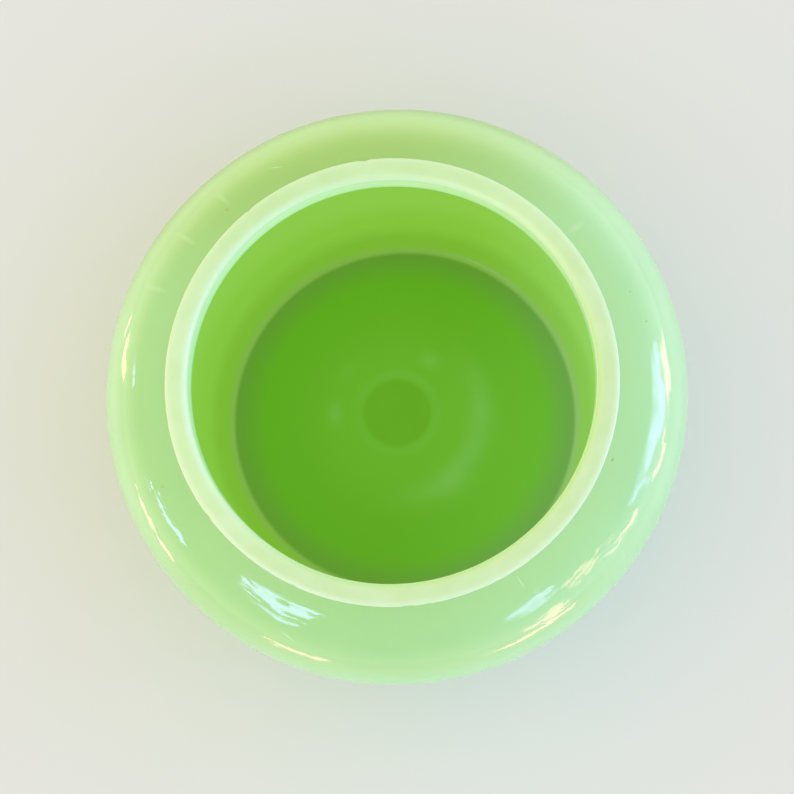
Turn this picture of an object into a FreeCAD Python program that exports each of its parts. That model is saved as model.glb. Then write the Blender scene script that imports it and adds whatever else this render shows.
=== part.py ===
import FreeCAD, Part
import math
import os

# A squat dish of cased glass: a pale opal casing over a bright green lining,
# blown in one bubble, with its mouth ground flat. All sizes are millimetres.
# The origin is the centre of the foot and +Z is up.

# Driving dimensions
BELLY_RADIUS = 60.0       # outside, at the widest point
BELLY_HEIGHT = 41.5       # height of the widest point
RIM_HEIGHT = 56.5         # foot to ground rim
RIM_RADIUS = 45.2         # outer edge of the ground rim
THROAT_RADIUS = 40.7      # narrowest point of the mouth
WALL = 3.5                # both layers together, up to the widest point
LINING = 1.2              # the lining alone
FLOOR_HEIGHT = 5.0        # inside floor above the foot
FLOOR_RADIUS = 39.5       # inside floor, where the wall would meet it

# Shoulder, rim and mouth
SHOULDER_RISE = 14.75     # outside, from the widest point to its flat top
CEILING_RISE = 8.9        # inside, from the widest point to the throat
RIM_ARRIS = 0.6           # rounding of the rim's outer edge
RIM_ROOT = 0.1            # rounding where the rim stands on the shoulder
MOUTH_ROUND = 1.6         # rounding of the rim's inner edge
THROAT_ROUND = 0.9        # rounding where the throat opens into the belly
LINING_EDGE_RADIUS = 42.1 # where the lining ends, hidden above the undercut
FLOOR_ROUND = 3.0         # rounding between the floor and the wall

# Foot and ground-out pontil mark
FOOT_INNER_RADIUS = 31.0
FOOT_ROUND = 5.0
PUSH_UP = 1.6             # hollow of the underside at its centre
PONTIL_RADIUS = 8.2
PONTIL_DEPTH = 0.7
PONTIL_CENTRE = (-1.6, 1.3)

TOOL_CLEARANCE = 4.0      # how far the cavity tool runs above the rim
TOLERANCE = 0.001

AXIS = FreeCAD.Vector(0, 0, 1)
ORIGIN = FreeCAD.Vector(0, 0, 0)

# The belly is an arc about BELLY_CENTRE and the shoulder an ellipse about the
# throat, so the two meet at the widest point with no crease.
_drop = BELLY_HEIGHT - FLOOR_HEIGHT
_flare = BELLY_RADIUS - WALL - FLOOR_RADIUS
CAVITY_ARC = (_flare ** 2 + _drop ** 2) / (2 * _flare)
BELLY_CENTRE = BELLY_RADIUS - WALL - CAVITY_ARC


def point(radius, height):
    return FreeCAD.Vector(radius, 0, height)


def line(start, end):
    return Part.makeLine(point(*start), point(*end))


def belly_radius_at(height, arc_radius):
    """Radius from the axis of a belly arc at a height."""
    return BELLY_CENTRE + math.sqrt(arc_radius ** 2 - (BELLY_HEIGHT - height) ** 2)


def belly_arc(bottom_height, arc_radius):
    """The belly's curve from a height up to the widest point."""
    start = math.atan2(bottom_height - BELLY_HEIGHT,
                       belly_radius_at(bottom_height, arc_radius) - BELLY_CENTRE)

    def on_arc(angle):
        return point(BELLY_CENTRE + arc_radius * math.cos(angle),
                     BELLY_HEIGHT + arc_radius * math.sin(angle))

    return Part.Arc(on_arc(start), on_arc(start / 2), on_arc(0)).toShape()


def shoulder_height_at(radius, rise, reach):
    """Height of a shoulder ellipse at a radius from the axis."""
    across = (radius - THROAT_RADIUS) / reach
    return BELLY_HEIGHT + rise * math.sqrt(1 - across ** 2)


def shoulder_curve(end_radius, rise, reach):
    """The shoulder's curve from the widest point in to a radius."""
    centre = point(THROAT_RADIUS, BELLY_HEIGHT)
    widest = point(THROAT_RADIUS + reach, BELLY_HEIGHT)
    top = point(THROAT_RADIUS, BELLY_HEIGHT + rise)
    if reach >= rise:
        ellipse = Part.Ellipse(widest, top, centre)
    else:
        ellipse = Part.Ellipse(top, widest, centre)
    end = point(end_radius, shoulder_height_at(end_radius, rise, reach))
    first, last = sorted((ellipse.parameter(widest), ellipse.parameter(end)))
    if last - first > math.pi:
        first, last = last, first + 2 * math.pi
    return ellipse.toShape(first, last)


def turned(edges):
    """Turn a closed outline about the axis."""
    outline = Part.Wire(Part.__sortEdges__(edges))
    return Part.Face(outline).revolve(ORIGIN, AXIS, 360)


def rounded(solid, radius, height, round_radius):
    """Round the ring-shaped edge at a radius and a height."""
    rings = [edge for edge in solid.Edges
             if abs(edge.BoundBox.XMax - radius) < TOLERANCE
             and abs(edge.BoundBox.ZMin - height) < TOLERANCE
             and abs(edge.BoundBox.ZMax - height) < TOLERANCE]
    return solid.makeFillet(round_radius, rings)


def bubble():
    """The whole outside shape, still solid, with its foot and rim."""
    arc_radius = CAVITY_ARC + WALL
    reach = BELLY_RADIUS - THROAT_RADIUS
    foot_radius = belly_radius_at(0, arc_radius)
    rim_root = shoulder_height_at(RIM_RADIUS, SHOULDER_RISE, reach)
    hollow_radius = (FOOT_INNER_RADIUS ** 2 + PUSH_UP ** 2) / (2 * PUSH_UP)
    half_angle = math.asin(FOOT_INNER_RADIUS / hollow_radius) / 2
    hollow_middle = point(hollow_radius * math.sin(half_angle),
                          PUSH_UP - hollow_radius * (1 - math.cos(half_angle)))
    hollow = Part.Arc(point(0, PUSH_UP), hollow_middle, point(FOOT_INNER_RADIUS, 0))
    solid = turned([
        hollow.toShape(),
        line((FOOT_INNER_RADIUS, 0), (foot_radius, 0)),
        belly_arc(0, arc_radius),
        shoulder_curve(RIM_RADIUS, SHOULDER_RISE, reach),
        line((RIM_RADIUS, rim_root), (RIM_RADIUS, RIM_HEIGHT)),
        line((RIM_RADIUS, RIM_HEIGHT), (0, RIM_HEIGHT)),
        line((0, RIM_HEIGHT), (0, PUSH_UP)),
    ])
    solid = rounded(solid, foot_radius, 0, FOOT_ROUND)
    solid = rounded(solid, RIM_RADIUS, RIM_HEIGHT, RIM_ARRIS)
    return rounded(solid, RIM_RADIUS, rim_root, RIM_ROOT)


def lining_envelope():
    """The space inside the casing that the lining and the hollow fill."""
    arc_radius = CAVITY_ARC + LINING
    floor = FLOOR_HEIGHT - LINING
    floor_radius = belly_radius_at(floor, arc_radius)
    rise = CEILING_RISE + LINING
    reach = BELLY_RADIUS - WALL + LINING - THROAT_RADIUS
    edge_top = shoulder_height_at(LINING_EDGE_RADIUS, rise, reach)
    edge_foot = shoulder_height_at(LINING_EDGE_RADIUS, CEILING_RISE, reach - LINING)
    solid = turned([
        line((0, floor), (floor_radius, floor)),
        belly_arc(floor, arc_radius),
        shoulder_curve(LINING_EDGE_RADIUS, rise, reach),
        line((LINING_EDGE_RADIUS, edge_top), (LINING_EDGE_RADIUS, edge_foot)),
        line((LINING_EDGE_RADIUS, edge_foot), (0, edge_foot)),
        line((0, edge_foot), (0, floor)),
    ])
    return rounded(solid, floor_radius, floor, FLOOR_ROUND + LINING)


def cavity():
    """The hollow of the dish, with its throat and the mouth above it."""
    reach = BELLY_RADIUS - WALL - THROAT_RADIUS
    ceiling = BELLY_HEIGHT + CEILING_RISE
    mouth_low = RIM_HEIGHT - MOUTH_ROUND
    mouth_radius = THROAT_RADIUS + MOUTH_ROUND
    top = RIM_HEIGHT + TOOL_CLEARANCE
    middle = MOUTH_ROUND * (1 - math.sqrt(0.5))
    mouth = Part.Arc(point(THROAT_RADIUS, mouth_low),
                     point(THROAT_RADIUS + middle, RIM_HEIGHT - middle),
                     point(mouth_radius, RIM_HEIGHT))
    solid = turned([
        line((0, FLOOR_HEIGHT), (FLOOR_RADIUS, FLOOR_HEIGHT)),
        belly_arc(FLOOR_HEIGHT, CAVITY_ARC),
        shoulder_curve(THROAT_RADIUS, CEILING_RISE, reach),
        line((THROAT_RADIUS, ceiling), (THROAT_RADIUS, mouth_low)),
        mouth.toShape(),
        line((mouth_radius, RIM_HEIGHT), (mouth_radius, top)),
        line((mouth_radius, top), (0, top)),
        line((0, top), (0, FLOOR_HEIGHT)),
    ])
    solid = rounded(solid, THROAT_RADIUS, ceiling, THROAT_ROUND)
    return rounded(solid, FLOOR_RADIUS, FLOOR_HEIGHT, FLOOR_ROUND)


def pontil_grinding():
    """The ball that grinds out the pontil scar under the floor."""
    ball_radius = (PONTIL_RADIUS ** 2 + PONTIL_DEPTH ** 2) / (2 * PONTIL_DEPTH)
    height = PUSH_UP + PONTIL_DEPTH - ball_radius
    return Part.makeSphere(ball_radius, FreeCAD.Vector(*PONTIL_CENTRE, height))


def outer_casing():
    """Pale opal glass: the outside, the foot, the ground rim and the throat."""
    shell = bubble().cut(lining_envelope()).cut(cavity())
    return shell.cut(pontil_grinding())


def inner_lining():
    """Bright green glass that lines the belly and the floor."""
    return lining_envelope().cut(cavity())


def save(name, shape):
    solid = shape.Solids[0]
    if len(shape.Solids) != 1 or not solid.isValid():
        raise ValueError(name + " is not one valid solid")
    solid.exportStep("parts/" + name + ".step")
    print(name, round(solid.Volume), "mm3")


os.makedirs("parts", exist_ok=True)
save("outer_casing", outer_casing())
save("inner_lining", inner_lining())
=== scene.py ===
import math

import bmesh
import bpy
from mathutils import Matrix, Vector, noise


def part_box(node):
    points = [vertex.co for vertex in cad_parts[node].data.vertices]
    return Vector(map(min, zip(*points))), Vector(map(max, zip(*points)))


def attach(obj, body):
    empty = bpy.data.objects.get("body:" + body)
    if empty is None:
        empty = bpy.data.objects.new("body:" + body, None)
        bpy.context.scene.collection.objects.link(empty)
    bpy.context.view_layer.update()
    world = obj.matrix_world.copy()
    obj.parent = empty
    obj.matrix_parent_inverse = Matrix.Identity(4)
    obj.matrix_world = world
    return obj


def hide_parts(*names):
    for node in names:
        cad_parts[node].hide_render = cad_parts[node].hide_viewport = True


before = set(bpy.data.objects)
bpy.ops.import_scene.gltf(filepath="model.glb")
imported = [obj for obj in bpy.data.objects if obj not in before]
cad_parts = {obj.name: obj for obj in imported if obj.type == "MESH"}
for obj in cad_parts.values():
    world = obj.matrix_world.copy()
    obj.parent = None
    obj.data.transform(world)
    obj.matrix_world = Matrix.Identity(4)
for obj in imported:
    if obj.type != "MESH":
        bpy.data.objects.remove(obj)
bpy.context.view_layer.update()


# ---------------------------------------------------------------- the opal casing
# The outside of the dish is one gather of pale opal glass, blown to a squat bubble
# and opened at the top. Its outline is drawn as the blower's template is cut, from
# the underside outwards and up, and is then turned about the axis.

BELLY_HEIGHT = 0.0415
WALL = 0.0035             # both layers together, up to the widest point
LINING = 0.0012           # the green layer alone
FLOOR_HEIGHT = 0.005
FLOOR_RADIUS = 0.0395
FLOOR_ROUND = 0.003
THROAT_RADIUS = 0.0407
CEILING_RISE = 0.0089     # inside, from the widest point up to the throat
LINING_EDGE = 0.0421      # radius where the green layer ends
SHOULDER_RISE = 0.01475   # outside, from the widest point up to its flat top
RIM_RADIUS = 0.0452
CROWN_WIDTH = 0.0014      # how far in the rim's top starts to fall to its outer edge
CROWN_FALL = 0.0005
MOUTH_WIDTH = 0.0018      # the same at its inner edge
MOUTH_FALL = 0.0015
RIM_ROOT = 0.0001         # rounding where the rim stands on the shoulder
THROAT_ROUND = 0.0009     # rounding where the throat opens into the belly
FOOT_INNER_RADIUS = 0.031
FOOT_ROUND = 0.005
PUSH_UP = 0.0016          # hollow of the underside at its centre
SECTORS = 12
CASING_STEPS = 48         # turning steps in one sector
MERGE = 1e-6

casing_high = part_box("outer_casing")[1]
BELLY_RADIUS = casing_high.x
RIM_HEIGHT = casing_high.z
CAVITY_REACH = BELLY_RADIUS - WALL - THROAT_RADIUS
cavity_drop = BELLY_HEIGHT - FLOOR_HEIGHT
cavity_flare = BELLY_RADIUS - WALL - FLOOR_RADIUS
CAVITY_ARC = (cavity_flare ** 2 + cavity_drop ** 2) / (2 * cavity_flare)
BELLY_CENTRE = BELLY_RADIUS - WALL - CAVITY_ARC


class Template:
    """The outline of a turned piece, drawn in the XZ plane by moving one point."""

    def __init__(self):
        self.bm = bmesh.new()

    def start(self, radius, height):
        self.pen = self.bm.verts.new((radius, 0, height))

    def line(self, radius, height, steps=1):
        """Draw a straight line to a radius and height."""
        move = (Vector((radius, 0, height)) - self.pen.co) / steps
        for _ in range(steps):
            step = bmesh.ops.extrude_vert_indiv(self.bm, verts=[self.pen])
            self.pen = step["verts"][0]
            bmesh.ops.translate(self.bm, verts=[self.pen], vec=move)

    def arc(self, radius, height, degrees, steps, stretch=1.0):
        """Draw an arc about a centre, from +X towards +Z; stretch makes it an ellipse."""
        centre = Vector((radius, 0, height))
        before = set(self.bm.verts) - {self.pen}
        about = Matrix.Translation(-centre)
        bmesh.ops.scale(self.bm, vec=(1, 1, 1 / stretch), space=about, verts=[self.pen])
        turn = bmesh.ops.spin(self.bm, geom=[self.pen], cent=centre, axis=(0, -1, 0),
                              angle=math.radians(degrees), steps=steps,
                              use_merge=False, use_duplicate=False)
        self.pen = turn["geom_last"][0]
        drawn = [vert for vert in self.bm.verts if vert not in before]
        bmesh.ops.scale(self.bm, vec=(1, 1, stretch), space=about, verts=drawn)

    def bowl(self, floor, arc, corner, steps, floor_steps):
        """Draw a floor outwards, its rounded corner, and the belly up to its widest."""
        rise = BELLY_HEIGHT - floor - corner
        corner_radius = BELLY_CENTRE + math.sqrt((arc - corner) ** 2 - rise ** 2)
        belly_angle = math.degrees(math.atan2(rise, corner_radius - BELLY_CENTRE))
        self.line(corner_radius, floor, floor_steps)
        self.arc(corner_radius, floor + corner, 90 - belly_angle, steps // 4)
        self.arc(BELLY_CENTRE, BELLY_HEIGHT, belly_angle, steps)

    def shoulder(self, end_radius, rise, reach, steps):
        """Draw the shoulder from the widest point in to a radius."""
        angle = math.degrees(math.acos((end_radius - THROAT_RADIUS) / reach))
        self.arc(THROAT_RADIUS, BELLY_HEIGHT, angle, steps, rise / reach)

    def seat(self, steps):
        """Draw the surface where the two glasses are fused, up to the lining's edge."""
        self.start(0, FLOOR_HEIGHT - LINING)
        self.bowl(FLOOR_HEIGHT - LINING, CAVITY_ARC + LINING, FLOOR_ROUND + LINING, steps, 3)
        self.shoulder(LINING_EDGE, CEILING_RISE + LINING, CAVITY_REACH + LINING, steps)

    def turned(self, sector_steps):
        """Turn the outline through one sector, and copy that all round into a closed skin."""
        bmesh.ops.remove_doubles(self.bm, verts=self.bm.verts, dist=MERGE)
        sector = 2 * math.pi / SECTORS
        bmesh.ops.spin(self.bm, geom=self.bm.verts[:] + self.bm.edges[:], cent=(0, 0, 0),
                       axis=(0, 0, 1), angle=sector, steps=sector_steps,
                       use_merge=False, use_duplicate=False)
        whole = self.bm.verts[:] + self.bm.edges[:] + self.bm.faces[:]
        bmesh.ops.spin(self.bm, geom=whole, cent=(0, 0, 0), axis=(0, 0, 1),
                       angle=sector * (SECTORS - 1), steps=SECTORS - 1,
                       use_merge=False, use_duplicate=True)
        bmesh.ops.remove_doubles(self.bm, verts=self.bm.verts, dist=MERGE)
        bmesh.ops.recalc_face_normals(self.bm, faces=self.bm.faces)
        return self.bm


casing = Template()
hollow_arc = (FOOT_INNER_RADIUS ** 2 + PUSH_UP ** 2) / (2 * PUSH_UP)
hollow_angle = math.degrees(math.asin(FOOT_INNER_RADIUS / hollow_arc))
casing.start(0, PUSH_UP)
casing.arc(0, PUSH_UP - hollow_arc, -hollow_angle, steps=36)
casing.bowl(0, CAVITY_ARC + WALL, FOOT_ROUND, steps=24, floor_steps=6)
casing.shoulder(RIM_RADIUS + RIM_ROOT, SHOULDER_RISE, BELLY_RADIUS - THROAT_RADIUS, steps=30)
casing.arc(RIM_RADIUS + RIM_ROOT, casing.pen.co.z + RIM_ROOT, -90, steps=2)
crown_foot = RIM_HEIGHT - CROWN_FALL
casing.line(RIM_RADIUS, crown_foot)
casing.arc(RIM_RADIUS - CROWN_WIDTH, crown_foot, 90, steps=6, stretch=CROWN_FALL / CROWN_WIDTH)
mouth_radius = THROAT_RADIUS + MOUTH_WIDTH
casing.line(mouth_radius, RIM_HEIGHT, steps=3)
mouth_stretch = MOUTH_FALL / MOUTH_WIDTH
casing.arc(mouth_radius, RIM_HEIGHT - MOUTH_FALL, 90, steps=8, stretch=mouth_stretch)
ceiling = BELLY_HEIGHT + CEILING_RISE
casing.line(THROAT_RADIUS, ceiling + THROAT_ROUND, steps=3)
casing.arc(THROAT_RADIUS + THROAT_ROUND, ceiling + THROAT_ROUND, 90, steps=4)
lining_lip = (LINING_EDGE - THROAT_RADIUS) / CAVITY_REACH
casing.line(LINING_EDGE, BELLY_HEIGHT + CEILING_RISE * math.sqrt(1 - lining_lip ** 2))
lip_seat = (LINING_EDGE - THROAT_RADIUS) / (CAVITY_REACH + LINING)
seat_top = BELLY_HEIGHT + (CEILING_RISE + LINING) * math.sqrt(1 - lip_seat ** 2)
casing.line(LINING_EDGE, seat_top)
casing.seat(steps=12)
casing_mesh = casing.turned(CASING_STEPS)

# No blown bubble is quite round: the whole shape is uneven by about a tenth of a
# millimetre, in both layers alike, and always inwards from the drawn size.
UNEVENNESS = 0.00016
UNEVEN_SIZE = 0.022


def hand_blown(bm):
    """Pull a piece's surface a little towards the axis, more in some places than others."""
    for vert in bm.verts:
        pull = UNEVENNESS * (1 + noise.noise(vert.co / UNEVEN_SIZE)) / 2
        flat = Vector((vert.co.x, vert.co.y, 0))
        if flat.length > pull:
            vert.co -= flat.normalized() * pull


hand_blown(casing_mesh)

# Small flakes are missing from the outer edge of the ground rim.
RIM_FLAKES = (            # bearing in degrees, half width, depth
    (96.9, 0.0012, 0.0003),
    (129.6, 0.0008, 0.00025),
    (217.4, 0.0010, 0.0003),
    (245.0, 0.0007, 0.0002),
    (274.4, 0.0013, 0.0003),
    (279.2, 0.0007, 0.0002),
)
FLAKE_REACH = 0.0009      # how far in from the edge a flake runs


def flake(bm, bearing, half_width, depth):
    """Chip the rim's outer edge at a bearing."""
    angle = math.radians(bearing)
    spot = Vector((RIM_RADIUS * math.cos(angle), RIM_RADIUS * math.sin(angle), RIM_HEIGHT))
    along = Vector((-math.sin(angle), math.cos(angle), 0))
    outwards = Vector((math.cos(angle), math.sin(angle), 1)).normalized()
    for vert in bm.verts:
        away = vert.co - spot
        if away.length < half_width + FLAKE_REACH:
            across = away.dot(along) / half_width
            inwards = (away - along * away.dot(along)).length / FLAKE_REACH
            bite = max(0, 1 - across ** 2) * max(0, 1 - inwards ** 2)
            vert.co -= outwards * depth * bite


for bearing, half_width, depth in RIM_FLAKES:
    flake(casing_mesh, bearing, half_width, depth)

# The scar of the blowing iron is ground out of the underside, a little off centre.
PONTIL_CENTRE = Vector((-0.0016, 0.0013))
PONTIL_RADIUS = 0.0082
PONTIL_DEPTH = 0.0007
for vert in casing_mesh.verts:
    off_centre = (vert.co.xy - PONTIL_CENTRE).length / PONTIL_RADIUS
    if vert.co.z < PUSH_UP + PONTIL_DEPTH and off_centre < 1:
        vert.co.z += PONTIL_DEPTH * (1 - off_centre ** 2)


class Value:
    """A shader value that plain Python arithmetic builds Math nodes from."""

    def __init__(self, shades, socket):
        self.shades = shades
        self.socket = socket

    def math(self, operation, *others):
        inputs = dict(enumerate((self,) + others))
        return self.shades.node("ShaderNodeMath", {"operation": operation}, inputs)

    def __add__(self, other):
        return self.math("ADD", other)

    def __sub__(self, other):
        return self.math("SUBTRACT", other)

    def __rsub__(self, other):
        return self.math("MULTIPLY", -1).math("ADD", other)

    def __mul__(self, other):
        return self.math("MULTIPLY", other)

    def __pow__(self, other):
        return self.math("POWER", other)

    __radd__ = __add__
    __rmul__ = __mul__


class Shades:
    """A node tree, with the patterns and mixtures that its colours are made of."""

    def __init__(self, tree, place, output):
        self.tree = tree
        self.place = self.node(place, {}, {}, output)
        self.x = self.node("ShaderNodeSeparateXYZ", {}, {0: self.place}, "X")
        self.y = self.node("ShaderNodeSeparateXYZ", {}, {0: self.place}, "Y")
        self.z = self.node("ShaderNodeSeparateXYZ", {}, {0: self.place}, "Z")

    def node(self, kind, settings, inputs, output=0):
        """Add a node, set it up, feed its inputs, and give one output as a value."""
        node = self.tree.nodes.new(kind)
        for name, value in settings.items():
            setattr(node, name, value)
        for name, value in inputs.items():
            if isinstance(value, Value):
                self.tree.links.new(value.socket, node.inputs[name])
            else:
                node.inputs[name].default_value = value
        return Value(self, node.outputs[output])

    def noise(self, size, detail=2.0, where=None):
        """A soft random pattern from 0 to 1, of blotches about one size across."""
        inputs = {"Vector": where or self.place, "Scale": 1 / size, "Detail": detail}
        return self.node("ShaderNodeTexNoise", {}, inputs, "Fac")

    def fade(self, value, start, end):
        """0 before start, 1 after end, and smooth between them."""
        inputs = {"Value": value, "From Min": start, "From Max": end}
        return self.node("ShaderNodeMapRange", {"interpolation_type": "SMOOTHSTEP"}, inputs)

    def band(self, value, middle, half_width):
        """1 at the middle, 0 beyond the half width on both sides."""
        return 1 - self.fade((value - middle).math("ABSOLUTE"), 0, half_width)

    def blend(self, share, first, second, how="MIX"):
        """Mix two colours, or add or multiply the second onto the first."""
        inputs = {"Factor": share, 6: first, 7: second}
        return self.node("ShaderNodeMix", {"data_type": "RGBA", "blend_type": how}, inputs, 2)

    def tinted(self, share, colour, tint):
        """Multiply a colour by a tint, by a share from 0 to 1."""
        return self.blend(share, colour, self.blend(1.0, colour, tint, "MULTIPLY"))

    def along(self, centre, reach):
        """How far along a reach a place lies: 0 at its centre, and 1 and -1 at its ends."""
        away = self.node("ShaderNodeVectorMath", {"operation": "SUBTRACT"}, {0: self.place, 1: centre})
        share = reach / reach.length_squared
        inputs = {0: away, 1: share}
        return self.node("ShaderNodeVectorMath", {"operation": "DOT_PRODUCT"}, inputs, "Value")

    def mark(self, centre, reach, half_width):
        """1 along a short mark that reaches both ways from its centre, and 0 around it."""
        side = reach.cross(Vector((0, 0, 1))).normalized() * half_width
        return self.band(self.along(centre, reach), 0, 1) * self.band(self.along(centre, side), 0, 1)


class Glass(Shades):
    """One glass or finish: its material, its place on the piece and its shader."""

    def __init__(self, name, **fixed):
        self.material = bpy.data.materials.new(name)
        self.material.use_nodes = True
        self.shader = self.material.node_tree.nodes["Principled BSDF"]
        for socket, value in fixed.items():
            self.shader.inputs[socket.replace("_", " ")].default_value = value
        super().__init__(self.material.node_tree, "ShaderNodeTexCoord", "Object")
        self.radius = (self.x * self.x + self.y * self.y) ** 0.5

    def bump(self, height, distance, strength=1.0):
        inputs = {"Height": height, "Distance": distance, "Strength": strength}
        return self.node("ShaderNodeBump", {}, inputs, "Normal")

    def feed(self, **inputs):
        """Link values to the shader's own sockets."""
        for name, value in inputs.items():
            self.tree.links.new(value.socket, self.shader.inputs[name.replace("_", " ")])


# The opal is paler where the bubble turns into the belly, partly its own tone and partly
# painted light where the glass brightens towards its outline. Painted light makes it bluest
# on the right, and painted warm shade makes it darker and yellower at the back.
SHOULDER_MINT = (0.415, 0.735, 0.305, 1)
SHOULDER_SKY_LIGHT = (0.45, 0.77, 0.35, 1)
SHOULDER_WARM_SHADE = (0.38, 0.63, 0.163, 1)
TURN_MINT_AND_EDGE_LIGHT = (0.59, 0.89, 0.515, 1)
TURN_FRONT_SHADE = (0.53, 0.81, 0.39, 1)
TURN_WARM_SHADE = (0.566, 0.83, 0.37, 1)
BELLY_MINT_AND_EDGE_LIGHT = (0.535, 0.85, 0.455, 1)
BELLY_WARM_SHADE = (0.36, 0.64, 0.17, 1)
TURN_HEIGHTS = (0.0546, 0.0495)     # where the shoulder's colour starts and ends its change
TURN_TILT = 0.025                   # the change sits higher at the back by this slope
BELLY_HEIGHTS = (0.0492, 0.0455)    # the change to the belly's colour
WARM_HEIGHTS = (0.0508, 0.0465)     # the same at the back
RIGHT_REACH = (0.0, 0.045)          # how far out a side's painted light starts and is full
FRONT_REACH = (-0.02, -0.05)
BACK_REACH = (0.02, 0.056)
BACK_TURN = 0.2                     # the back of the dish lies this much to the left
OPAL_SCATTER = {"Subsurface_Weight": 0.3, "Subsurface_Radius": (0.6, 1.0, 0.4),
                "Subsurface_Scale": 0.0015}

opal = Glass("opal_glass", Roughness=0.06, IOR=1.5, Emission_Strength=0.25, **OPAL_SCATTER)
# Painted light by side: aqua on the right, warm shade at the back, shade at the front.
turning = opal.fade(opal.z - TURN_TILT * opal.y, *TURN_HEIGHTS)
shoulder = opal.blend(opal.fade(opal.x, *RIGHT_REACH), SHOULDER_MINT, SHOULDER_SKY_LIGHT)
pale = opal.blend(opal.fade(opal.y, *FRONT_REACH), TURN_MINT_AND_EDGE_LIGHT, TURN_FRONT_SHADE)
cool_light = opal.blend(turning, shoulder, pale)
cool_light = opal.blend(opal.fade(opal.z, *BELLY_HEIGHTS), cool_light, BELLY_MINT_AND_EDGE_LIGHT)
warm_shade = opal.blend(turning, SHOULDER_WARM_SHADE, TURN_WARM_SHADE)
warm_shade = opal.blend(opal.fade(opal.z, *WARM_HEIGHTS), warm_shade, BELLY_WARM_SHADE)
mint = opal.blend(opal.fade(opal.y - BACK_TURN * opal.x, *BACK_REACH), cool_light, warm_shade)

CLOUDY = (0.93, 0.95, 0.92, 1)
CLOUD_SIZE = 0.028
clouds = opal.fade(opal.noise(CLOUD_SIZE, 3), 0.45, 0.75) * 0.7
mint = opal.tinted(clouds, mint, CLOUDY)

# Painted light: the throat is paler, and a painted glow stands for the green layer's
# light coming through the thin glass of the throat.
THROAT_LIT_MINT = (0.78, 0.97, 0.68, 1)
THROAT_PAINTED_GLOW = (0.42, 0.72, 0.36, 1)
NO_LIGHT = (0, 0, 0, 1)
THROAT_FADE = 0.0004
THROAT_HEIGHTS = (0.045, 0.046)     # the throat lies above these heights
LIT_HEIGHTS = (RIM_HEIGHT - 0.0010, RIM_HEIGHT - 0.0022)
in_throat = 1 - opal.fade(opal.radius, LINING_EDGE, LINING_EDGE + THROAT_FADE)
in_throat = in_throat * opal.fade(opal.z, *THROAT_HEIGHTS)
mint = opal.blend(in_throat, mint, THROAT_LIT_MINT)
lit = in_throat * opal.fade(opal.z, *LIT_HEIGHTS)
painted_throat_glow = opal.blend(lit, NO_LIGHT, THROAT_PAINTED_GLOW)


def on_shoulder(bearing, radius):
    """The place on the shoulder at a bearing and a distance from the axis."""
    angle = math.radians(bearing)
    across = (radius - THROAT_RADIUS) / (BELLY_RADIUS - THROAT_RADIUS)
    height = BELLY_HEIGHT + SHOULDER_RISE * math.sqrt(1 - across ** 2)
    return Vector((radius * math.cos(angle), radius * math.sin(angle), height))


MARKED_HEIGHTS = (0.0440, 0.0455)   # the marks are on the shoulder only, from here up


def marks(glass, places):
    """1 on each of a list of small marks on the shoulder, and 0 around them."""
    total = 0
    for bearing, radius, turn, half_length, half_width in places:
        angle = math.radians(bearing + turn)
        reach = Vector((math.cos(angle), math.sin(angle), 0)) * half_length
        total = glass.mark(on_shoulder(bearing, radius), reach, half_width) + total
    return total * glass.fade(glass.z, *MARKED_HEIGHTS)


# Marks are bearing, radius, turn from straight outwards, half length and half width.
ASH_SPECKS = (
    (-21.1, 0.0464, 80, 0.0006, 0.0003),
    (19.9, 0.0507, 60, 0.0003, 0.0002),
)
OPEN_BUBBLES = (
    (133.3, 0.0483, 30, 0.0007, 0.0005),
    (12.6, 0.0520, 70, 0.0004, 0.0003),
    (205.0, 0.0500, 10, 0.0004, 0.0003),
)
SCRATCHES = (
    (-58.0, 0.0476, 2, 0.0018, 0.0002),
    (118.0, 0.0500, 65, 0.0022, 0.00015),
    (248.0, 0.0545, 75, 0.0022, 0.0002),
)
REFLECTED_STREAKS = (          # painted reflections: pale streaks on the shoulder
    (144.7, 0.0513, 0, 0.0040, 0.0008),
    (132.3, 0.0512, 2, 0.0032, 0.0008),
    (158.0, 0.0515, -2, 0.0035, 0.0009),
    (39.2, 0.0480, 0, 0.0030, 0.0010),
    (304.0, 0.0520, 3, 0.0035, 0.0008),
)
SPECK = (0.30, 0.42, 0.12, 1)
PALE_FLECK_AND_SHEEN = (0.75, 0.95, 0.65, 1)
STREAK_STRENGTH = 0.22
SCRATCH_STRENGTH = 0.7
SPECK_STRENGTH = 0.8
# The pale streaks are painted reflections; the scratches and specks are the glass's own.
mint = opal.blend(marks(opal, REFLECTED_STREAKS) * STREAK_STRENGTH, mint, PALE_FLECK_AND_SHEEN)
mint = opal.blend(marks(opal, SCRATCHES) * SCRATCH_STRENGTH, mint, PALE_FLECK_AND_SHEEN)
mint = opal.blend(marks(opal, ASH_SPECKS) * SPECK_STRENGTH, mint, SPECK)

WAVE_HEIGHT = 0.0004      # of the blown surface, over waves of 12 mm and 3.5 mm
waves = opal.noise(0.012, 1) * 0.6 + opal.noise(0.0035, 1) * 0.1
waves = waves + marks(opal, OPEN_BUBBLES) * -0.5
opal.feed(Base_Color=mint, Emission_Color=painted_throat_glow, Normal=opal.bump(waves, WAVE_HEIGHT))


def as_piece(bm, name, node, materials):
    """Finish a turned mesh as a smooth piece that stands for its CAD node."""
    mesh = bpy.data.meshes.new(name)
    bm.to_mesh(mesh)
    bm.free()
    mesh.shade_smooth()
    for material in materials:
        mesh.materials.append(material)
    piece = bpy.data.objects.new(name, mesh)
    bpy.context.scene.collection.objects.link(piece)
    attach(piece, "root")
    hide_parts(node)
    return piece


# ---------------------------------------------------------------- the ground rim
# The mouth was cracked off and ground flat on a wheel, so its top is satin, paler
# than the polished glass, and finely pitted all over by the grit.

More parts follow.
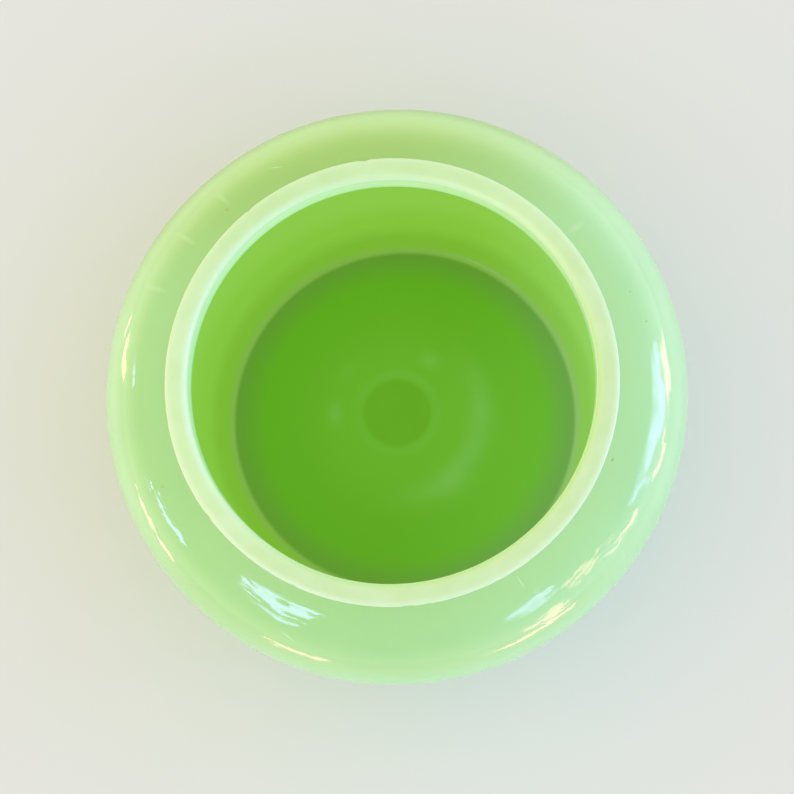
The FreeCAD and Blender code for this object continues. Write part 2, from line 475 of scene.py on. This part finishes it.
RIM_CREAM = (0.68, 0.90, 0.50, 1)
RIM_WHITE_AND_HIGHLIGHT = (0.76, 0.96, 0.64, 1)
RIM_WARM_LIGHT = (0.90, 0.93, 0.86, 1)
RIM_NEAR_SHADE = (0.93, 0.93, 0.92, 1)
EDGE_GREEN_GLOW = (0.55, 0.85, 0.34, 1)
HIGHLIGHT_REACH = (0.0006, 0.0021)       # from the rim's middle, where the painted edge highlights start and are full
RIM_BACK_REACH = (-0.01, 0.05)
RIM_FRONT_REACH = (-0.012, 0.028)
GREEN_REACH = (0.0014, 0.0002)      # the same from the throat, for the green of the mouth's edge
GRIT_SIZE = 0.0004
GRIT_HEIGHT = 0.00002

ground = Glass("ground_rim_glass", Roughness=0.35, IOR=1.5, **OPAL_SCATTER)
# The grinding wheel rounds both edges; the whiter colour on them is a painted highlight.
rim_middle = (RIM_RADIUS + THROAT_RADIUS) / 2
edges = ground.fade((ground.radius - rim_middle).math("ABSOLUTE"), *HIGHLIGHT_REACH)
patches = ground.fade(ground.noise(0.006), 0.35, 0.7) * 0.5
rim_colour = ground.blend(patches, RIM_CREAM, RIM_WHITE_AND_HIGHLIGHT)
rim_colour = ground.blend(edges, rim_colour, RIM_WHITE_AND_HIGHLIGHT)
# Painted warm light at the back of the rim.
at_back = ground.fade(ground.y - BACK_TURN * ground.x, *RIM_BACK_REACH)
rim_colour = ground.tinted(at_back, rim_colour, RIM_WARM_LIGHT)
# Painted shade at the front and right, and a painted green glow on the mouth's thin
# edge there, standing for the green inside shining out through it.
at_front = ground.fade(0.6 * ground.x - 0.8 * ground.y, *RIM_FRONT_REACH)
rim_colour = ground.tinted(at_front, rim_colour, RIM_NEAR_SHADE)
mouth_edge = ground.fade(ground.radius - THROAT_RADIUS, *GREEN_REACH)
rim_colour = ground.blend(mouth_edge * at_front * 0.8, rim_colour, EDGE_GREEN_GLOW)
grit = ground.noise(GRIT_SIZE, 4)
ground.feed(Base_Color=rim_colour, Normal=ground.bump(grit, GRIT_HEIGHT, 0.6))

GROUND_DEPTH = 0.0006     # the finish reaches this far down from the top
for face in casing_mesh.faces:
    middle = face.calc_center_median()
    on_top = middle.z > RIM_HEIGHT - GROUND_DEPTH
    face.material_index = 1 if on_top else 0

as_piece(casing_mesh, "opal_casing", "outer_casing", [opal.material, ground.material])


# ---------------------------------------------------------------- the green lining
# A thin layer of clear, strongly coloured uranium glass lines the belly and floor.
# It was gathered first, so the casing lies over it, fused to it all over.

LINING_STEPS = 40
lining = Template()
lining.start(0, FLOOR_HEIGHT)
lining.bowl(FLOOR_HEIGHT, CAVITY_ARC, FLOOR_ROUND, steps=36, floor_steps=60)
lining.shoulder(LINING_EDGE, CEILING_RISE, CAVITY_REACH, steps=24)
lining.line(LINING_EDGE, seat_top)
lining.seat(steps=12)
lining_mesh = lining.turned(LINING_STEPS)
hand_blown(lining_mesh)

# Pressing the iron on underneath dented the floor, and left a soft ripple round it.
DENT_RADIUS = 0.0076
DENT_EDGE = 0.0016
DENT_DEPTH = 0.00018
RIPPLE_RADIUS = 0.0165
RIPPLE_WIDTH = 0.006
RIPPLE_HEIGHT = 0.00012


def smooth(share):
    """0 below 0, 1 above 1, and smooth between them."""
    share = min(max(share, 0), 1)
    return share * share * (3 - 2 * share)


for vert in lining_mesh.verts:
    if vert.co.z > FLOOR_HEIGHT - LINING / 2:
        off_centre = (vert.co.xy - PONTIL_CENTRE).length
        vert.co.z -= DENT_DEPTH * smooth((DENT_RADIUS - off_centre) / DENT_EDGE)
        vert.co.z += RIPPLE_HEIGHT * smooth(1 - abs(off_centre - RIPPLE_RADIUS) / RIPPLE_WIDTH)

# The green is deep on the floor, lighter at its centre and darkest at its edge in
# painted shade; a painted highlight lies on the ring where the floor meets the wall,
# and painted light makes the wall paler upwards.
GREEN_CENTRE = (0.119, 0.340, 0.018, 1)
GREEN_FLOOR = (0.105, 0.322, 0.012, 1)
GREEN_EDGE_SHADE = (0.117, 0.266, 0.031, 1)
GREEN_RING_HIGHLIGHT = (0.205, 0.365, 0.064, 1)
GREEN_LOW_SHADE = (0.202, 0.405, 0.038, 1)
GREEN_WALL_LIT = (0.245, 0.472, 0.055, 1)
GREEN_LIP_LIT = (0.282, 0.505, 0.080, 1)
CENTRE_RADII = (0.012, 0.027)       # where each colour starts and ends its change to the next
EDGE_RADII = (0.031, 0.0382)
RING_RADII = (0.0382, 0.0393)
RING_HEIGHTS = (0.0050, 0.0060)
LOW_HEIGHTS = (0.0068, 0.0102)
WALL_HEIGHTS = (0.0105, 0.0160)
PAINTED_GLOW = 0.53               # how much of its own colour the glass gives back as a painted glow

green = Glass("green_glass", Roughness=0.3, IOR=1.5, Specular_IOR_Level=0.12, Emission_Strength=PAINTED_GLOW)
on_floor = green.blend(green.fade(green.radius, *CENTRE_RADII), GREEN_CENTRE, GREEN_FLOOR)
on_floor = green.blend(green.fade(green.radius, *EDGE_RADII), on_floor, GREEN_EDGE_SHADE)

# The iron's dent is thinner and darker, with a milky line round it; the paler crescent
# and soft patches further out are painted reflections of the rim.
GREEN_DENT = (0.105, 0.298, 0.012, 1)
GREEN_MILK_AND_REFLECTION = (0.160, 0.385, 0.072, 1)
DENT_FADE = 0.0006
MILKY_LINE = 0.0015       # from the dent's edge out to the milky line
MILKY_LINE_WIDTH = 0.0016
CRESCENT_RADIUS = 0.0190
CRESCENT_WIDTH = 0.0045
REFLECTED_PATCHES = (         # bearing, distance, half length, half width, strength
    (58, 0.0142, 0.0040, 0.0030, 0.45),
    (181, 0.0142, 0.0042, 0.0026, 0.45),
    (140, 0.0150, 0.0036, 0.0022, 0.15),
    (-52, 0.0210, 0.0070, 0.0055, 0.2),
)

off_iron = ((green.x - PONTIL_CENTRE.x) ** 2 + (green.y - PONTIL_CENTRE.y) ** 2) ** 0.5
in_dent = green.fade(off_iron, DENT_RADIUS + DENT_FADE, DENT_RADIUS - DENT_FADE)
on_floor = green.blend(in_dent * (0.5 + 0.5 * green.noise(0.006)), on_floor, GREEN_DENT)
milk_and_reflection = green.band(off_iron, DENT_RADIUS + MILKY_LINE, MILKY_LINE_WIDTH)
milk_and_reflection = milk_and_reflection * (0.5 * green.noise(0.010, 1) - 0.08)
# The crescent is a painted reflection.
crescent = green.fade(green.x - 0.5 * green.y, 0.0, 0.018)
crescent = crescent * green.band(off_iron, CRESCENT_RADIUS, CRESCENT_WIDTH)
milk_and_reflection = milk_and_reflection + crescent * (0.12 + 0.4 * green.noise(0.009, 1))
# The patches are painted reflections of the rim.
for bearing, distance, half_length, half_width, strength in REFLECTED_PATCHES:
    angle = math.radians(bearing)
    outwards = Vector((math.cos(angle), math.sin(angle), 0))
    centre = Vector((*PONTIL_CENTRE, FLOOR_HEIGHT)) + outwards * distance
    reach = Vector((0, 0, 1)).cross(outwards) * half_length
    milk_and_reflection = milk_and_reflection + green.mark(centre, reach, half_width) * strength
on_floor = green.blend(milk_and_reflection, on_floor, GREEN_MILK_AND_REFLECTION)

# Painted light and shade: darker low on the wall, paler up to the lip, highlight on the ring.
on_wall = green.blend(green.fade(green.z, *LOW_HEIGHTS), GREEN_LOW_SHADE, GREEN_WALL_LIT)
on_wall = green.blend(green.fade(green.z, *WALL_HEIGHTS), on_wall, GREEN_LIP_LIT)
on_wall = green.blend(green.fade(green.z, *RING_HEIGHTS), GREEN_RING_HIGHLIGHT, on_wall)
lit_green = green.blend(green.fade(green.radius, *RING_RADII), on_floor, on_wall)

# Painted light from the right: the floor and low wall are paler and bluer on that side.
RIGHT_LIGHT_TINT = (1.2, 1.15, 2.6, 1)
RIGHT_LIGHT_HEIGHTS = (0.012, 0.030)
right_lit_side = green.fade(green.x - 0.3 * green.y, *RIGHT_REACH)
right_lit_side = right_lit_side * (1 - 0.7 * green.fade(green.z, *RIGHT_LIGHT_HEIGHTS))
lit_green = green.tinted(right_lit_side, lit_green, RIGHT_LIGHT_TINT)
# The emission is a painted glow in the same colours as the glass.
green.feed(Base_Color=lit_green, Emission_Color=lit_green)
as_piece(lining_mesh, "green_lining", "inner_lining", [green.material])


# ---------------------------------------------------------------- the studio
# The dish stands on a large sheet of pale paper. A white tent lights it softly from all
# round, with one softbox above, and lamps behind leaves make the glints on the glass.

FLOOR_SIZE = 5.0
floor_bm = bmesh.new()
bmesh.ops.create_grid(floor_bm, x_segments=8, y_segments=8, size=FLOOR_SIZE)
floor_mesh = bpy.data.meshes.new("studio_floor")
floor_bm.to_mesh(floor_mesh)
floor_bm.free()
floor = bpy.data.objects.new("studio_floor", floor_mesh)
bpy.context.scene.collection.objects.link(floor)
PAPER_GREY = (0.78, 0.78, 0.77, 1)
PAPER_WHITE = (0.82, 0.82, 0.81, 1)
paper = Glass("floor_paper", Roughness=0.9, Specular_IOR_Level=0.0)
paper.feed(Base_Color=paper.blend(paper.noise(0.2, 2), PAPER_GREY, PAPER_WHITE))
floor_mesh.materials.append(paper.material)

# The tent's cloth is brightest near the floor and bluer at the right.
TENT = (0.85, 0.76, 0.60, 1)
TENT_LOW = (0.46, 0.37, 0.25, 1)
TENT_RIGHT = (0.05, 0.46, 1.2, 1)
TENT_FRONT = (0.02, 0.14, 0.38, 1)
TENT_LEFT = (0.34, 0.37, 0.22, 1)

LOW_BAND = (0.1, 0.4)     # middle and half width, as heights on a ball of radius 1
SIDE_SPREAD = (0.1, 1.0)  # where a side's light starts and is full, on the same ball

world = bpy.data.worlds.new("studio")
world.use_nodes = True
tent = Shades(world.node_tree, "ShaderNodeTexCoord", "Generated")
cloth = tent.blend(tent.band(tent.z, *LOW_BAND), TENT, TENT_LOW, "ADD")
cloth = tent.blend(tent.fade(tent.x, *SIDE_SPREAD), cloth, TENT_RIGHT, "ADD")
cloth = tent.blend(tent.fade(-1 * tent.x, *SIDE_SPREAD), cloth, TENT_LEFT, "ADD")
cloth = tent.blend(tent.fade(-1 * tent.y, *SIDE_SPREAD), cloth, TENT_FRONT, "ADD")
world.node_tree.links.new(cloth.socket, world.node_tree.nodes["Background"].inputs["Color"])
bpy.context.scene.world = world
bpy.context.scene.view_settings.view_transform = "Standard"


def towards(bearing, elevation):
    """The direction of a bearing from +X and an elevation, both in degrees."""
    bearing, elevation = math.radians(bearing), math.radians(elevation)
    return Vector((math.cos(elevation) * math.cos(bearing),
                   math.cos(elevation) * math.sin(bearing), math.sin(elevation)))


def lamp(name, place, across, size, brightness, colour):
    """A rectangular lamp that faces the dish, with its first side along a direction."""
    light = bpy.data.lights.new(name, "AREA")
    light.shape = "RECTANGLE"
    light.size, light.size_y = size
    light.energy = brightness * math.pi * size[0] * size[1]
    light.color = colour
    away = (place - Vector((0, 0, BELLY_HEIGHT))).normalized()
    side = (across - away * across.dot(away)).normalized()
    stand = bpy.data.objects.new(name, light)
    stand.matrix_world = Matrix((side, away.cross(side), away)).transposed().to_4x4()
    stand.location = place
    stand.visible_camera = False
    bpy.context.scene.collection.objects.link(stand)
    return stand


def softbox(name, bearing, elevation, distance, size, brightness, colour):
    """A large lamp that lights the dish softly and leaves no reflection on it."""
    place = towards(bearing, elevation) * distance
    box = lamp(name, place, Vector((0, 0, 1)).cross(place), (size, size), brightness, colour)
    box.visible_glossy = False


LEAF_SHADE = 0.42         # the pattern of leaves is dark below this value
LEAF_LIGHT = 0.45         # and bright above this one
THINNING = 0.2            # how much leafier it gets towards the ends and sides of a lamp
END_FADE = (0.7, 1.0)     # where its light starts to fade and ends, as shares of its half length
SIDE_FADE = (0.6, 1.0)    # the same across it
SHOULDER_MIDDLE = Vector((0, 0, 0.05))


def glint(name, start, end, thickness, distance, brightness, colour, leaf, soft):
    """A lamp behind leaves, from one bearing and elevation to another, seen only reflected."""
    first, last = towards(*start) * distance, towards(*end) * distance
    size = ((last - first).length, distance * math.radians(thickness))
    strip = lamp(name, SHOULDER_MIDDLE + (first + last) / 2, last - first, size, brightness, colour)
    strip.visible_diffuse = False
    strip.data.use_nodes = True
    leaves = Shades(strip.data.node_tree, "ShaderNodeNewGeometry", "Position")
    side = strip.matrix_world.to_3x3() @ Vector((1, 0, 0))
    rise = strip.matrix_world.to_3x3() @ Vector((0, 1, 0))
    lengthwise = leaves.along(strip.location, side * size[0] / 2).math("ABSOLUTE")
    crosswise = leaves.along(strip.location, rise * size[1] / 2).math("ABSOLUTE")
    gaps = leaves.noise(distance * math.radians(leaf), 5)
    gaps = gaps - THINNING * (lengthwise * lengthwise + crosswise * crosswise)
    light = leaves.fade(gaps, LEAF_SHADE - soft / 2, LEAF_LIGHT + soft / 2)
    light = light * (1 - leaves.fade(lengthwise, *END_FADE))
    light = light * (1 - leaves.fade(crosswise, *SIDE_FADE))
    emission = strip.data.node_tree.nodes["Emission"]
    leaves.tree.links.new(light.socket, emission.inputs["Strength"])


SOFTBOX_WHITE = (1, 0.9, 0.75)
softbox("softbox_above", 120, 84, 1.1, 0.9, 0.2, SOFTBOX_WHITE)

# A glint is given as its start and its end, each a bearing and an elevation, its
# thickness in degrees, distance, brightness, colour, leaf size in degrees and softness.
SKY = (0.42, 0.45, 1.0)
SUNLIT = (1.0, 0.38, 0.42)
glint("sky_right", (24, 15), (-24, 19), 24, 0.8, 12, SKY, 12, 0.22)
glint("sky_left", (163, 16), (173, 19), 7, 0.8, 11, SKY, 4, 0.10)
glint("sky_left_front", (-171, 19), (-149, 26), 12, 0.8, 15, SKY, 3.5, 0.04)
glint("sky_front", (-140, 41), (-113, 43), 22, 0.8, 14, SKY, 3.5, 0.02)
glint("sky_front_low", (-132, 29), (-114, 31), 9, 0.8, 11, SKY, 5, 0.10)
glint("sky_right_front", (-64, 31), (-45, 29), 18, 0.8, 10, SKY, 6, 0.20)
glint("sun_right", (20, 7), (-1, 0), 13, 0.3, 9, SUNLIT, 8, 0.03)
glint("sun_right_low", (-1, 0), (-16, 5), 12, 0.3, 9, SUNLIT, 5, 0.03)
glint("sun_left", (158, -8), (172, 5), 10, 0.3, 9, SUNLIT, 5, 0.03)
glint("sun_left_front", (-170, -4), (-144, -9), 10, 0.3, 10, SUNLIT, 5, 0.03)
glint("sun_front", (-127, -12), (-103, -9), 18, 0.28, 10, SUNLIT, 4, 0.03)
glint("sun_right_front", (-74, -9), (-47, -11), 17, 0.28, 10, SUNLIT, 4, 0.03)
glint("sun_right_front_high", (-50, 26), (-30, 15), 18, 0.7, 8, SUNLIT, 3.5, 0.06)
glint("sun_right_front_patch", (-60, -1), (-49, 6), 18, 0.5, 9, SUNLIT, 4, 0.05)
glint("sun_right_side", (-34, 13), (-18, 2), 13, 0.6, 9, SUNLIT, 4, 0.05)

camera_data = bpy.data.cameras.new("camera")
camera_data.lens = 75.7
camera_data.clip_start = 0.01
camera = bpy.data.objects.new("camera", camera_data)
bpy.context.scene.collection.objects.link(camera)
CAMERA_PLACE = Vector((0.0198, -0.0603, 0.380))
CAMERA_AIM = Vector((-0.0002, 0.0006, 0.030))
backwards = (CAMERA_PLACE - CAMERA_AIM).normalized()
rightwards = Vector((0, 1, 0)).cross(backwards).normalized()
upwards = backwards.cross(rightwards)
facing = Matrix((rightwards, upwards, backwards)).transposed().to_4x4()
camera.matrix_world = Matrix.Translation(CAMERA_PLACE) @ facing
bpy.context.scene.camera = camera
